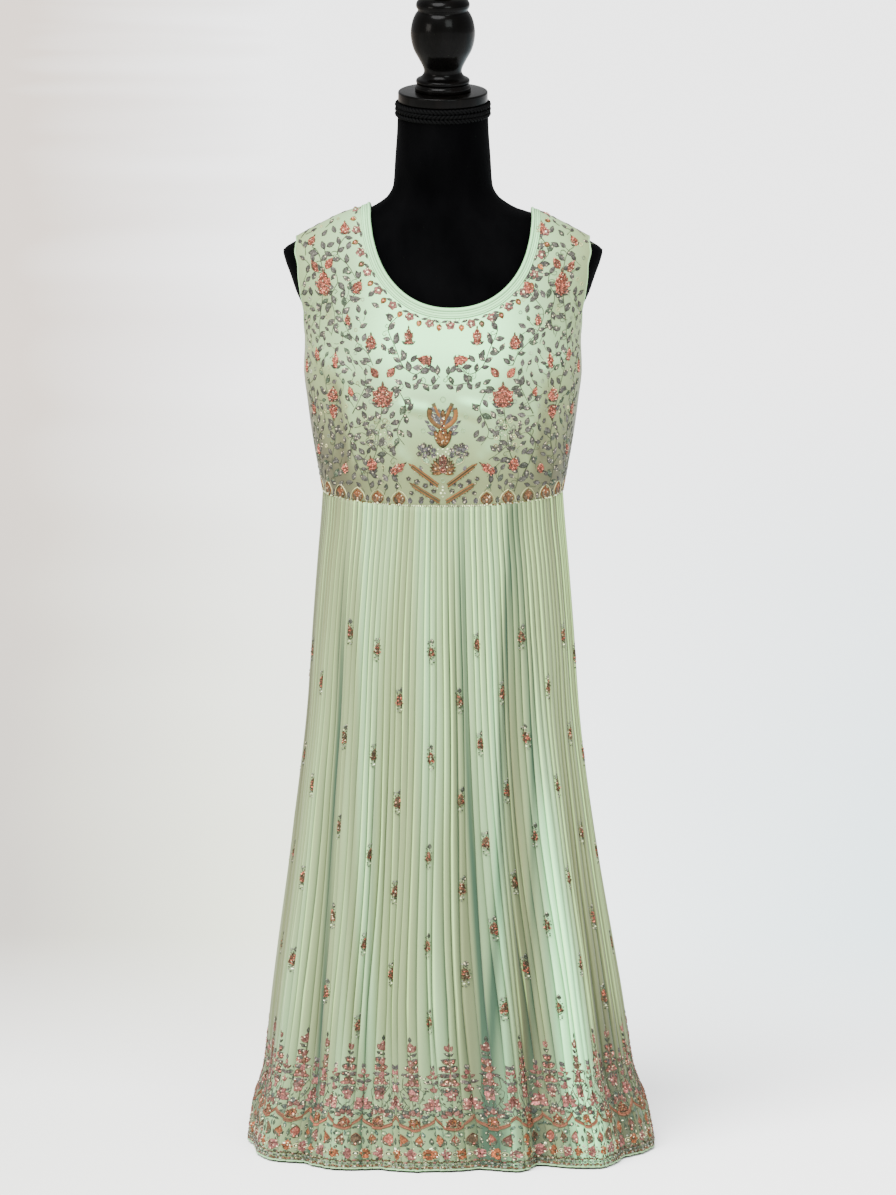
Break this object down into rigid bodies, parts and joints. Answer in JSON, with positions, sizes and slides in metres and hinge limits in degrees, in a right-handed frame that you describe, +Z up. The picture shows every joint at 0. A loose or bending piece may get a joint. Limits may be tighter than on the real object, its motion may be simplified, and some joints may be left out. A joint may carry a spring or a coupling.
{
  "type": "anarkali gown on a dress form",
  "caption": "Sleeveless floor-length gown with a fitted bodice, bound scoop neck and pleated flared skirt, standing on a limbless dress form with a turned finial.",
  "frame": {"origin": "point on the floor under the pole's axis, at the centre of the stand base's underside", "axes": "+Z up, the gown's front faces -Y, +X towards the wearer's left"},
  "size_m": [0.5565, 0.4429, 1.5896],
  "materials": {
    "gown_cloth": "soft sheer georgette with beaded embroidery",
    "binding": "bias binding with rows of stitching",
    "form_velvet": "black velvet",
    "neck_cord": "braided cord",
    "dark_wood": "satin lacquer",
    "stand_metal": "satin black"
  },
  "bodies": {
    "root": {"bodice_front": "gown_cloth", "bodice_back": "gown_cloth", "skirt_front": "gown_cloth", "skirt_back": "gown_cloth", "neck_binding": "binding", "form_torso": "form_velvet", "neck_cord": "neck_cord", "neck_cap": "dark_wood", "finial": "dark_wood", "stand_base": "stand_metal", "stand_boss": "stand_metal", "stand_pole": "stand_metal"}
  },
  "joints": []
}
